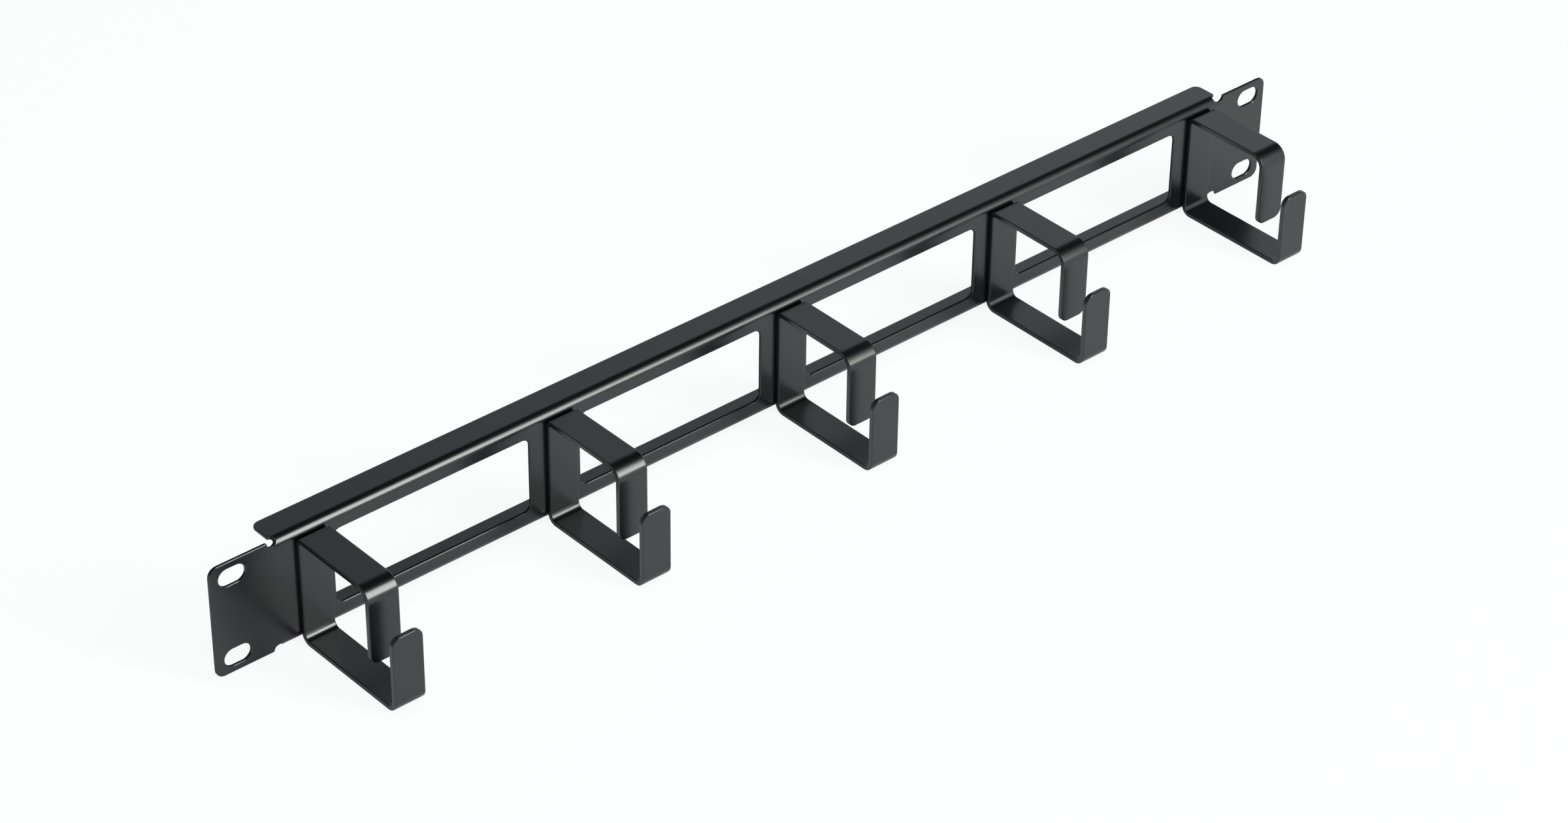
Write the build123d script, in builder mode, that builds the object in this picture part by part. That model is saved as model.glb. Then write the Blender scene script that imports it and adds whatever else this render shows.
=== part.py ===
from build123d import *
import os

# Horizontal cable manager for a 19 inch rack, one unit high.
# X runs along the panel, Z is up, and the rings stand out in front, towards -Y.
# The origin is the middle of the four mounting slots, on the rear face of the ears.

# Folded panel
panel_width = 482.6
panel_height = 43.5
sheet = 1.2
ear_length = 24.55
ear_corner_radius = 3.5
flange_depth = 12.3
flange_corner_radius = 3.0
fold_inner_radius = 2.0

# Round reliefs that end the folds before the ears, and reach just past the bend
relief_setback = 1.1
relief_clearance = 0.15
relief_sink = 0.2

# Mounting slots, set in from the panel's ends and long edges
slot_inset_x = 8.75
slot_inset_z = 5.875
slot_length = 10.4
slot_width = 6.6

# Windows between the rings, with a post behind each ring and a rail above and below
ring_count = 5
end_post = 12.75
post_width = 21.5
rail_height = 7.0
window_corner_radius = 3.0

# Rings, each bent from one strip, with its top below the panel's and its floor under it
strip = 1.8
strip_width = 12.2
ring_shift = 2.3
ring_drop = 1.0
ring_sink = 2.5
top_reach = 38.5
bottom_reach = 50.4
leg_tip_height = 12.7
lip_height = 29.5
tip_corner_radius = 3.5
top_rear_radius = 2.8
top_front_radius = 5.5
bottom_rear_radius = 4.0
bottom_front_radius = 4.0

# Spot welds that hold each ring, pressed into the rear face of the panel
weld_radius = 2.5
weld_depth = 0.15
weld_spacing = 20.0
weld_taper = 40.0

# Easing of the cut edges
sheet_edge_break = 0.25
strip_edge_break = 0.2

# Derived places
front_face = -sheet
half_height = panel_height / 2
flange_span = panel_width - 2 * ear_length
flange_rear = front_face + flange_depth
relief_radius = sheet + fold_inner_radius + relief_clearance - relief_setback
slot_pitch_x = panel_width - 2 * slot_inset_x
slot_pitch_z = panel_height - 2 * slot_inset_z
ring_pitch = (flange_span - 2 * end_post) / (ring_count - 1)
window_width = ring_pitch - post_width
window_height = panel_height - 2 * rail_height
ring_bottom = -half_height - ring_drop
ring_top = half_height - ring_sink
ring_middle = (ring_bottom + ring_top) / 2
first_ring = ring_shift - ring_pitch * (ring_count - 1) / 2

os.makedirs("parts", exist_ok=True)

# Panel: a channel along the folds, with a flat ear at each end
with BuildPart() as panel:
    web = front_face + sheet / 2
    fold = half_height - sheet / 2
    with BuildSketch(Plane.YZ):
        with BuildLine():
            FilletPolyline(
                (flange_rear, -fold),
                (web, -fold),
                (web, fold),
                (flange_rear, fold),
                radius=fold_inner_radius + sheet / 2,
            )
        trace(line_width=sheet)
    extrude(amount=flange_span / 2, both=True)
    flange_ends = panel.faces().sort_by(Axis.Y)[-2:]
    fillet(flange_ends.edges().filter_by(Axis.Z), radius=flange_corner_radius)

    # Cut rims of the channel are eased before the ears close its ends
    spans = panel.edges().filter_by(Axis.X)
    fold_lines = spans - spans.group_by(Axis.Y)[-1]
    corners = panel.edges().filter_by(lambda edge: edge.length < sheet + sheet_edge_break)
    chamfer(panel.edges() - fold_lines - corners, length=sheet_edge_break)

    with BuildSketch(Plane.XZ):
        RectangleRounded(panel_width, panel_height, ear_corner_radius)
        Rectangle(flange_span - 2 * sheet_edge_break, panel_height, mode=Mode.SUBTRACT)
    extrude(amount=sheet)

    with BuildSketch(Plane.XZ):
        with GridLocations(slot_pitch_x, slot_pitch_z, 2, 2):
            SlotOverall(slot_length, slot_width)
        with GridLocations(ring_pitch, 0, ring_count - 1, 1):
            RectangleRounded(window_width, window_height, window_corner_radius)
    extrude(amount=sheet, mode=Mode.SUBTRACT)

    relief_plane = Plane.XZ.offset(sheet - relief_setback)
    with Locations(relief_plane):
        with GridLocations(flange_span, panel_height - 2 * relief_sink, 2, 2):
            Sphere(relief_radius, mode=Mode.SUBTRACT)

    # Then the rims of the ears, the slots and the windows, but not those of the reliefs
    flat_rims = panel.faces().filter_by(Axis.Y).filter_by_position(Axis.Y, front_face, 0).edges()
    fold_lines = flat_rims.filter_by(Axis.X).filter_by(lambda edge: edge.length > window_width)
    corners = flat_rims.filter_by(lambda edge: edge.length < sheet + sheet_edge_break)
    relief_rims = panel.faces().filter_by(GeomType.SPHERE).edges()
    chamfer(flat_rims - fold_lines - corners - relief_rims, length=sheet_edge_break)

    # Spot welds leave a shallow round dent behind each ring
    ring_row = Plane.XZ * Location((ring_shift, ring_middle, 0))
    with BuildSketch(ring_row):
        with GridLocations(ring_pitch, weld_spacing, ring_count, 2):
            Circle(weld_radius)
    extrude(amount=weld_depth, taper=weld_taper, mode=Mode.SUBTRACT)

panel.part.label = "panel"
export_step(panel.part, "parts/panel.step")

# Rings: a flat back leg, a short upper hook, and a deeper lower hook with a raised lip
for number in range(1, ring_count + 1):
    ring_x = first_ring + (number - 1) * ring_pitch
    back = front_face - strip / 2
    top = ring_top - strip / 2
    bottom = ring_bottom + strip / 2
    with BuildPart() as ring:
        with BuildSketch(Plane.YZ.offset(ring_x)):
            with BuildLine():
                FilletPolyline(
                    (front_face - top_reach + strip / 2, ring_bottom + leg_tip_height),
                    (front_face - top_reach + strip / 2, top),
                    (back, top),
                    (back, bottom),
                    (front_face - bottom_reach + strip / 2, bottom),
                    (front_face - bottom_reach + strip / 2, ring_bottom + lip_height),
                    radius=[
                        top_front_radius - strip / 2,
                        top_rear_radius - strip / 2,
                        bottom_rear_radius - strip / 2,
                        bottom_front_radius - strip / 2,
                    ],
                )
            trace(line_width=strip)
        extrude(amount=strip_width / 2, both=True)

        tips = ring.faces().filter_by(Axis.Z).sort_by(SortBy.AREA)[:2]
        fillet(tips.edges().filter_by(Axis.Y), radius=tip_corner_radius)

        across = ring.edges().filter_by(Axis.X)
        bend_lines = across.filter_by(lambda edge: edge.length > strip_width - strip_edge_break)
        corners = ring.edges().filter_by(lambda edge: edge.length < strip + strip_edge_break)
        rims = ring.edges() - bend_lines - corners
        chamfer(rims, length=strip_edge_break)
    ring.part.label = f"ring_{number}"
    export_step(ring.part, f"parts/ring_{number}.step")
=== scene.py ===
import math

import bpy
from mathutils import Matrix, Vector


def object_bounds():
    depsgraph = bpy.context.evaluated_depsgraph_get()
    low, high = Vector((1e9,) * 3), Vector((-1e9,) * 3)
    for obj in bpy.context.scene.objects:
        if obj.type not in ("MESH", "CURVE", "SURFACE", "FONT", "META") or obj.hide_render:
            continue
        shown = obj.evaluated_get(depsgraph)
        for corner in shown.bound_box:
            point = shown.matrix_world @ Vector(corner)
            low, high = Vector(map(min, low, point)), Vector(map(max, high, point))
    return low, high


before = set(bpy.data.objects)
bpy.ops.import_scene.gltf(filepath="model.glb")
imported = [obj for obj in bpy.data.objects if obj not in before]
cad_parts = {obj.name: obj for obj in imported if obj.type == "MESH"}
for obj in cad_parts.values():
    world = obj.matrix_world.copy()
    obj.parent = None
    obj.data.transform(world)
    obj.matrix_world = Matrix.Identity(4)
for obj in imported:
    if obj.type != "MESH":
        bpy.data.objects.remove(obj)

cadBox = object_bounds()
print("cable manager: frame loaded,", len(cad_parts), "nodes")


# camera, matched to the shot: a long lens from the front left, looking down
cameraSetup = {
    "place": (-0.80671, -0.90883, 0.81265),
    "turn": (55.4107, -0.6290, -41.2123),  # degrees
    "lens": 96.035,
    "sensor": 36.0,
    "nearLimit": 0.02,
}

cameraData = bpy.data.cameras.new("shotCamera")
cameraData.sensor_fit = "HORIZONTAL"
cameraData.sensor_width = cameraSetup["sensor"]
cameraData.lens = cameraSetup["lens"]
cameraData.clip_start = cameraSetup["nearLimit"]
cameraData.dof.use_dof = False
shotCamera = bpy.data.objects.new("shotCamera", cameraData)
shotCamera.location = cameraSetup["place"]
shotCamera.rotation_euler = [math.radians(angle) for angle in cameraSetup["turn"]]
bpy.context.scene.collection.objects.link(shotCamera)
bpy.context.scene.camera = shotCamera
bpy.context.scene.view_settings.view_transform = "Standard"
print("camera placed")


# small helpers for the node trees
def addNode(tree, kind, spot, **settings):
    node = tree.nodes.new(kind)
    node.location = spot
    for name, value in settings.items():
        setattr(node, name, value)
    return node


def mathNode(tree, spot, operation, first, second=None, clamp=False):
    node = addNode(tree, "ShaderNodeMath", spot, operation=operation, use_clamp=clamp)
    for socket, value in zip(node.inputs, (first, second)):
        if value is None:
            continue
        if hasattr(value, "is_output"):
            tree.links.new(value, socket)
        else:
            socket.default_value = value
    return node.outputs[0]


def newGroup(name, inputs, outputs):
    group = bpy.data.node_groups.new(name, "ShaderNodeTree")
    for label, kind in inputs:
        group.interface.new_socket(name=label, in_out="INPUT", socket_type=kind)
    for label, kind in outputs:
        group.interface.new_socket(name=label, in_out="OUTPUT", socket_type=kind)
    source = addNode(group, "NodeGroupInput", (-900, 0))
    sink = addNode(group, "NodeGroupOutput", (700, 0))
    return group, source, sink


def placeGroup(tree, group, spot, values):
    node = addNode(tree, "ShaderNodeGroup", spot)
    node.node_tree = group
    for name, value in values.items():
        node.inputs[name].default_value = value
    return node


# the flow of the powder as it melts: soft ripples, fine grain, and a few dust nibs
skinMix = {"rippleDetail": 1.5, "grainDetail": 0.5, "rippleShare": 0.7, "grainShare": 0.3, "nibRise": 0.5}


def buildCoatSkin():
    group, source, sink = newGroup(
        "coatSkin",
        [("Ripple Scale", "NodeSocketFloat"), ("Grain Scale", "NodeSocketFloat"),
         ("Nib Scale", "NodeSocketFloat"), ("Nib Size", "NodeSocketFloat")],
        [("Height", "NodeSocketFloat"), ("Nibs", "NodeSocketFloat")],
    )
    place = addNode(group, "ShaderNodeTexCoord", (-900, -300)).outputs["Object"]
    ripple = addNode(group, "ShaderNodeTexNoise", (-600, 200))
    ripple.inputs["Detail"].default_value = skinMix["rippleDetail"]
    grain = addNode(group, "ShaderNodeTexNoise", (-600, -50))
    grain.inputs["Detail"].default_value = skinMix["grainDetail"]
    nib = addNode(group, "ShaderNodeTexVoronoi", (-600, -300))
    for node, scale in ((ripple, "Ripple Scale"), (grain, "Grain Scale"), (nib, "Nib Scale")):
        group.links.new(place, node.inputs["Vector"])
        group.links.new(source.outputs[scale], node.inputs["Scale"])
    nibMask = addNode(group, "ShaderNodeMapRange", (-300, -300), interpolation_type="SMOOTHSTEP")
    group.links.new(nib.outputs["Distance"], nibMask.inputs["Value"])
    group.links.new(source.outputs["Nib Size"], nibMask.inputs["From Max"])
    nibMask.inputs["To Min"].default_value = 1.0
    nibMask.inputs["To Max"].default_value = 0.0
    rippled = mathNode(group, (-300, 200), "MULTIPLY", ripple.outputs["Fac"], skinMix["rippleShare"])
    grained = mathNode(group, (-300, -50), "MULTIPLY", grain.outputs["Fac"], skinMix["grainShare"])
    skin = mathNode(group, (0, 100), "ADD", rippled, grained)
    raised = mathNode(group, (0, -250), "MULTIPLY", nibMask.outputs["Result"], skinMix["nibRise"])
    group.links.new(mathNode(group, (300, 50), "ADD", skin, raised), sink.inputs["Height"])
    group.links.new(nibMask.outputs["Result"], sink.inputs["Nibs"])
    return group


# where the sheet was cut: the eased normal rounds the rim, a pale painted highlight follows it, and the
# punch has rolled the front over
rimMix = {
    "bevelSamples": 8,
    "rimStarts": 0.995,  # likeness of the true and the eased normal: a flat face has 1
    "rimFull": 0.90,
    "wearDetail": 3.0,
    "cutFace": 0.3,  # a face counts as cut where its normal has less of Y than this
}


def buildCutRim():
    group, source, sink = newGroup(
        "cutRim",
        [("Radius", "NodeSocketFloat"), ("Wear Scale", "NodeSocketFloat"), ("Wear", "NodeSocketFloat"),
         ("Roll", "NodeSocketFloat"), ("Sheet Back", "NodeSocketFloat")],
        [("Rim", "NodeSocketFloat"), ("Normal", "NodeSocketVector")],
    )
    eased = addNode(group, "ShaderNodeBevel", (-600, 150), samples=rimMix["bevelSamples"])
    group.links.new(source.outputs["Radius"], eased.inputs["Radius"])
    sharp = addNode(group, "ShaderNodeNewGeometry", (-600, -100))
    alike = addNode(group, "ShaderNodeVectorMath", (-350, 100), operation="DOT_PRODUCT")
    group.links.new(eased.outputs["Normal"], alike.inputs[0])
    group.links.new(sharp.outputs["Normal"], alike.inputs[1])
    edge = addNode(group, "ShaderNodeMapRange", (-100, 100), interpolation_type="SMOOTHSTEP")
    group.links.new(alike.outputs["Value"], edge.inputs["Value"])
    edge.inputs["From Min"].default_value = rimMix["rimStarts"]
    edge.inputs["From Max"].default_value = rimMix["rimFull"]

    # the pale rim is a painted edge highlight, broken up by a wear noise
    place = addNode(group, "ShaderNodeTexCoord", (-600, -350)).outputs["Object"]
    worn = addNode(group, "ShaderNodeTexNoise", (-350, -250))
    worn.inputs["Detail"].default_value = rimMix["wearDetail"]
    group.links.new(place, worn.inputs["Vector"])
    group.links.new(source.outputs["Wear Scale"], worn.inputs["Scale"])
    patch = mathNode(group, (-100, -250), "MULTIPLY", worn.outputs["Fac"], source.outputs["Wear"])
    kept = mathNode(group, (100, -250), "SUBTRACT", 1.0, patch)
    rim = mathNode(group, (350, 50), "MULTIPLY", edge.outputs["Result"], kept)
    group.links.new(rim, sink.inputs["Rim"])

    # cut faces in front of the sheet's back lean forward by the roll
    depth = addNode(group, "ShaderNodeSeparateXYZ", (-600, -550))
    group.links.new(place, depth.inputs["Vector"])
    facing = addNode(group, "ShaderNodeSeparateXYZ", (-600, -700))
    group.links.new(sharp.outputs["Normal"], facing.inputs["Vector"])
    across = mathNode(group, (-400, -700), "ABSOLUTE", facing.outputs["Y"])
    cut = mathNode(group, (-200, -700), "LESS_THAN", across, rimMix["cutFace"])
    inside = mathNode(group, (-400, -850), "LESS_THAN", depth.outputs["Y"], source.outputs["Sheet Back"])
    rolled = mathNode(group, (0, -700), "MULTIPLY", cut, inside)
    lean = mathNode(group, (0, -500), "MULTIPLY", rolled, source.outputs["Roll"])
    forward = addNode(group, "ShaderNodeVectorMath", (200, -500), operation="SCALE")
    forward.inputs[0].default_value = (0.0, -1.0, 0.0)
    group.links.new(lean, forward.inputs["Scale"])
    leaning = addNode(group, "ShaderNodeVectorMath", (350, -350), operation="ADD")
    group.links.new(eased.outputs["Normal"], leaning.inputs[0])
    group.links.new(forward.outputs["Vector"], leaning.inputs[1])
    smooth = addNode(group, "ShaderNodeVectorMath", (500, -200), operation="NORMALIZE")
    group.links.new(leaning.outputs["Vector"], smooth.inputs[0])
    group.links.new(smooth.outputs["Vector"], sink.inputs["Normal"])
    return group


# colour and gloss of the coat, drifting a little over the length of the sheet, with a painted highlight
# mixed in along the rims and paler dust nibs
toneMix = {"driftDetail": 3.0, "driftMiddle": 0.5, "dustShare": 0.25}


def buildCoatTone():
    group, source, sink = newGroup(
        "coatTone",
        [("Deep", "NodeSocketColor"), ("Pale", "NodeSocketColor"), ("Rim Highlight And Dust Color", "NodeSocketColor"),
         ("Rim", "NodeSocketFloat"), ("Nibs", "NodeSocketFloat"), ("Satin", "NodeSocketFloat"),
         ("Satin Drift", "NodeSocketFloat"), ("Drift Scale", "NodeSocketFloat")],
        [("Color", "NodeSocketColor"), ("Roughness", "NodeSocketFloat")],
    )
    place = addNode(group, "ShaderNodeTexCoord", (-900, -400)).outputs["Object"]
    drift = addNode(group, "ShaderNodeTexNoise", (-650, -100))
    drift.inputs["Detail"].default_value = toneMix["driftDetail"]
    group.links.new(place, drift.inputs["Vector"])
    group.links.new(source.outputs["Drift Scale"], drift.inputs["Scale"])
    body = addNode(group, "ShaderNodeMix", (-350, 150), data_type="RGBA")
    group.links.new(drift.outputs["Fac"], body.inputs["Factor"])
    group.links.new(source.outputs["Deep"], body.inputs["A"])
    group.links.new(source.outputs["Pale"], body.inputs["B"])
    # painted highlight: towards the rim the colour goes pale
    rimmed = addNode(group, "ShaderNodeMix", (-100, 150), data_type="RGBA")
    group.links.new(source.outputs["Rim"], rimmed.inputs["Factor"])
    group.links.new(body.outputs["Result"], rimmed.inputs["A"])
    group.links.new(source.outputs["Rim Highlight And Dust Color"], rimmed.inputs["B"])
    dust = mathNode(group, (-100, -50), "MULTIPLY", source.outputs["Nibs"], toneMix["dustShare"])
    dusted = addNode(group, "ShaderNodeMix", (150, 150), data_type="RGBA")
    group.links.new(dust, dusted.inputs["Factor"])
    group.links.new(rimmed.outputs["Result"], dusted.inputs["A"])
    group.links.new(source.outputs["Rim Highlight And Dust Color"], dusted.inputs["B"])
    group.links.new(dusted.outputs["Result"], sink.inputs["Color"])
    swing = mathNode(group, (-350, -200), "SUBTRACT", drift.outputs["Fac"], toneMix["driftMiddle"])
    swing = mathNode(group, (-150, -250), "MULTIPLY", swing, source.outputs["Satin Drift"])
    gloss = mathNode(group, (150, -200), "ADD", source.outputs["Satin"], swing)
    group.links.new(gloss, sink.inputs["Roughness"])
    return group


coatSkin = buildCoatSkin()
cutRim = buildCutRim()
coatTone = buildCoatTone()


def powderCoat(name, finish):
    material = bpy.data.materials.new(name)
    material.use_nodes = True
    tree = material.node_tree
    tree.nodes.clear()
    output = addNode(tree, "ShaderNodeOutputMaterial", (900, 0))
    coat = addNode(tree, "ShaderNodeBsdfPrincipled", (600, 0))
    coat.inputs["IOR"].default_value = finish["ior"]
    skin = placeGroup(tree, coatSkin, (-200, -250), finish["skin"])
    rim = placeGroup(tree, cutRim, (-450, 50), finish["rim"])
    tone = placeGroup(tree, coatTone, (0, 150), finish["tone"])
    # the rim mask carries the painted edge highlight into the colour
    tree.links.new(rim.outputs["Rim"], tone.inputs["Rim"])
    tree.links.new(skin.outputs["Nibs"], tone.inputs["Nibs"])
    bump = addNode(tree, "ShaderNodeBump", (300, -250))
    bump.inputs["Strength"].default_value = finish["bump"]["Strength"]
    bump.inputs["Distance"].default_value = finish["bump"]["Distance"]
    tree.links.new(skin.outputs["Height"], bump.inputs["Height"])
    tree.links.new(rim.outputs["Normal"], bump.inputs["Normal"])
    tree.links.new(tone.outputs["Color"], coat.inputs["Base Color"])
    tree.links.new(tone.outputs["Roughness"], coat.inputs["Roughness"])
    tree.links.new(bump.outputs["Normal"], coat.inputs["Normal"])
    tree.links.new(coat.outputs["BSDF"], output.inputs["Surface"])
    return material


# folded panel: one coat over the web, the flanges and the ears, with rolled cut faces
panelFinish = {
    "ior": 1.6,
    "skin": {"Ripple Scale": 900.0, "Grain Scale": 4200.0, "Nib Scale": 150.0, "Nib Size": 0.045},
    "rim": {"Radius": 0.00030, "Wear Scale": 260.0, "Wear": 0.35, "Roll": 0.34, "Sheet Back": 0.0},
    "tone": {
        "Deep": (0.0011, 0.0013, 0.0017, 1), "Pale": (0.0019, 0.0022, 0.0029, 1),
        # the rim colour is a painted edge highlight, and the dust nibs take it too
        "Rim Highlight And Dust Color": (0.010, 0.011, 0.012, 1),
        "Satin": 0.25, "Satin Drift": 0.05, "Drift Scale": 22.0,
    },
    "bump": {"Strength": 0.06, "Distance": 0.00002},
}

# rings: the same powder with a wider rim, and strips that were sheared without a roll
ringFinish = {
    "ior": 1.6,
    "skin": {"Ripple Scale": 820.0, "Grain Scale": 4000.0, "Nib Scale": 170.0, "Nib Size": 0.045},
    "rim": {"Radius": 0.00050, "Wear Scale": 300.0, "Wear": 0.30, "Roll": 0.0, "Sheet Back": 0.0},
    "tone": {
        "Deep": (0.0011, 0.0013, 0.0017, 1), "Pale": (0.0019, 0.0022, 0.0029, 1),
        # the rim colour is a painted edge highlight, and the dust nibs take it too
        "Rim Highlight And Dust Color": (0.010, 0.011, 0.012, 1),
        "Satin": 0.25, "Satin Drift": 0.04, "Drift Scale": 35.0,
    },
    "bump": {"Strength": 0.06, "Distance": 0.00002},
}

panelCoat = powderCoat("satinBlackPanelCoat", panelFinish)
ringCoat = powderCoat("satinBlackRingCoat", ringFinish)
for name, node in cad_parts.items():
    coat = ringCoat if name.startswith("ring") else panelCoat
    for slot in node.material_slots:
        slot.material = coat
    if not node.material_slots:
        node.data.materials.append(coat)
print("powder coat on", len(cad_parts), "nodes")


# floor: a pale matt plate, with a share of flat tone where it is seen straight on or in the gloss
floorSetup = {
    "size": 8.0,
    "color": (0.86, 0.86, 0.86, 1),
    "flatLevel": 1.0,
    "cameraShare": 0.9,
    "glossShare": 0.12,
}

reach = floorSetup["size"] / 2
floorCorners = [(-reach, -reach, 0), (reach, -reach, 0), (reach, reach, 0), (-reach, reach, 0)]
floorMesh = bpy.data.meshes.new("studioFloor")
floorMesh.from_pydata(floorCorners, [], [(0, 1, 2, 3)])
studioFloor = bpy.data.objects.new("studioFloor", floorMesh)
studioFloor.location.z = cadBox[0][2]  # right under the rings' feet
bpy.context.scene.collection.objects.link(studioFloor)

floorPaint = bpy.data.materials.new("paleFloorPaint")
floorPaint.use_nodes = True
tree = floorPaint.node_tree
tree.nodes.clear()
output = addNode(tree, "ShaderNodeOutputMaterial", (500, 0))
matt = addNode(tree, "ShaderNodeBsdfDiffuse", (0, -100))
matt.inputs["Color"].default_value = floorSetup["color"]
flat = addNode(tree, "ShaderNodeEmission", (0, 100))
flat.inputs["Strength"].default_value = floorSetup["flatLevel"]
rays = addNode(tree, "ShaderNodeLightPath", (-500, 200))
mirrored = mathNode(
    tree, (-300, 150), "MAXIMUM", rays.outputs["Is Glossy Ray"], rays.outputs["Is Transmission Ray"])
mirrored = mathNode(tree, (-150, 150), "MULTIPLY", mirrored, floorSetup["glossShare"])
direct = mathNode(tree, (-150, 300), "MULTIPLY", rays.outputs["Is Camera Ray"], floorSetup["cameraShare"])
share = mathNode(tree, (0, 300), "MAXIMUM", mirrored, direct)
floorMix = addNode(tree, "ShaderNodeMixShader", (250, 0))
tree.links.new(share, floorMix.inputs["Fac"])
tree.links.new(matt.outputs["BSDF"], floorMix.inputs[1])
tree.links.new(flat.outputs["Emission"], floorMix.inputs[2])
tree.links.new(floorMix.outputs["Shader"], output.inputs["Surface"])
floorMesh.materials.append(floorPaint)
print("floor laid")


# room that the coat reflects: a pale sweep behind, a dark ceiling, and a paler wall high up in front
roomSetup = {
    "background": (1.0, 1.0, 1.0, 1),
    "tint": (0.955, 0.985, 1.07),
    # each level has its place on the way from the horizon behind, over the top, to the one in front
    "levels": [(0.0, 0.95), (0.16, 0.90), (0.25, 0.80), (0.30, 0.34), (0.36, 0.10), (0.50, 0.05),
               (0.60, 0.10), (0.68, 0.45), (0.78, 0.75), (0.88, 0.50), (1.0, 0.40)],
    "sideFrom": 0.38,  # the whole room gets brighter towards the right
    "sideTo": 0.68,
    "sideLevels": (0.44, 1.02),
}

world = bpy.data.worlds.new("softRoom")
bpy.context.scene.world = world
world.use_nodes = True
tree = world.node_tree
tree.nodes.clear()
output = addNode(tree, "ShaderNodeOutputWorld", (900, 0))
direction = addNode(tree, "ShaderNodeTexCoord", (-1100, 0)).outputs["Generated"]
split = addNode(tree, "ShaderNodeSeparateXYZ", (-900, 0))
tree.links.new(direction, split.inputs["Vector"])
aroundTop = mathNode(tree, (-700, 200), "ARCTAN2", split.outputs["Z"], split.outputs["Y"])
aroundTop = mathNode(tree, (-500, 200), "DIVIDE", aroundTop, math.pi, clamp=True)
ramp = addNode(tree, "ShaderNodeValToRGB", (-300, 200))
stops = ramp.color_ramp.elements
while len(stops) < len(roomSetup["levels"]):
    stops.new(0.5)
for stop, (position, level) in zip(stops, roomSetup["levels"]):
    stop.position = position
    stop.color = [level * share for share in roomSetup["tint"]] + [1]
tree.links.new(aroundTop, ramp.inputs["Fac"])
side = addNode(tree, "ShaderNodeMapRange", (-300, -100))
side.inputs["From Min"].default_value = roomSetup["sideFrom"]
side.inputs["From Max"].default_value = roomSetup["sideTo"]
side.inputs["To Min"].default_value, side.inputs["To Max"].default_value = roomSetup["sideLevels"]
tree.links.new(split.outputs["X"], side.inputs["Value"])
roomLight = addNode(tree, "ShaderNodeBackground", (250, 100))
tree.links.new(ramp.outputs["Color"], roomLight.inputs["Color"])
tree.links.new(side.outputs["Result"], roomLight.inputs["Strength"])

# the camera itself sees plain white instead of the room
plainWhite = addNode(tree, "ShaderNodeBackground", (250, -100))
plainWhite.inputs["Color"].default_value = roomSetup["background"]
rays = addNode(tree, "ShaderNodeLightPath", (0, 400))
seen = mathNode(
    tree, (250, 350), "MAXIMUM", rays.outputs["Is Camera Ray"], rays.outputs["Is Transmission Ray"])
roomMix = addNode(tree, "ShaderNodeMixShader", (600, 0))
tree.links.new(seen, roomMix.inputs["Fac"])
tree.links.new(roomLight.outputs["Background"], roomMix.inputs[1])
tree.links.new(plainWhite.outputs["Background"], roomMix.inputs[2])
tree.links.new(roomMix.outputs["Shader"], output.inputs["Surface"])
print("room around it")


# a softbox in front and to the right draws the bright line along the top fold,
# and one overhead evens out the floor without a gleam of its own
boxLights = [
    {"name": "foldSoftbox", "place": (1.16, -2.40, 1.59), "tilt": 90.0, "size": (0.96, 2.60),
     "power": 106.0, "color": (0.97, 1.0, 0.95), "gleams": True},
    {"name": "floorSoftbox", "place": (-0.10, -0.20, 1.20), "tilt": 0.0, "size": (1.20, 1.00),
     "power": 11.0, "color": (0.90, 0.97, 1.10), "gleams": False},
]
for setup in boxLights:
    lamp = bpy.data.lights.new(setup["name"], "AREA")
    lamp.shape = "RECTANGLE"
    lamp.size, lamp.size_y = setup["size"]
    lamp.energy = setup["power"]
    lamp.color = setup["color"]
    holder = bpy.data.objects.new(setup["name"], lamp)
    holder.location = setup["place"]
    holder.rotation_euler = (math.radians(setup["tilt"]), 0, 0)
    holder.visible_glossy = setup["gleams"]
    bpy.context.scene.collection.objects.link(holder)
print("lights up")
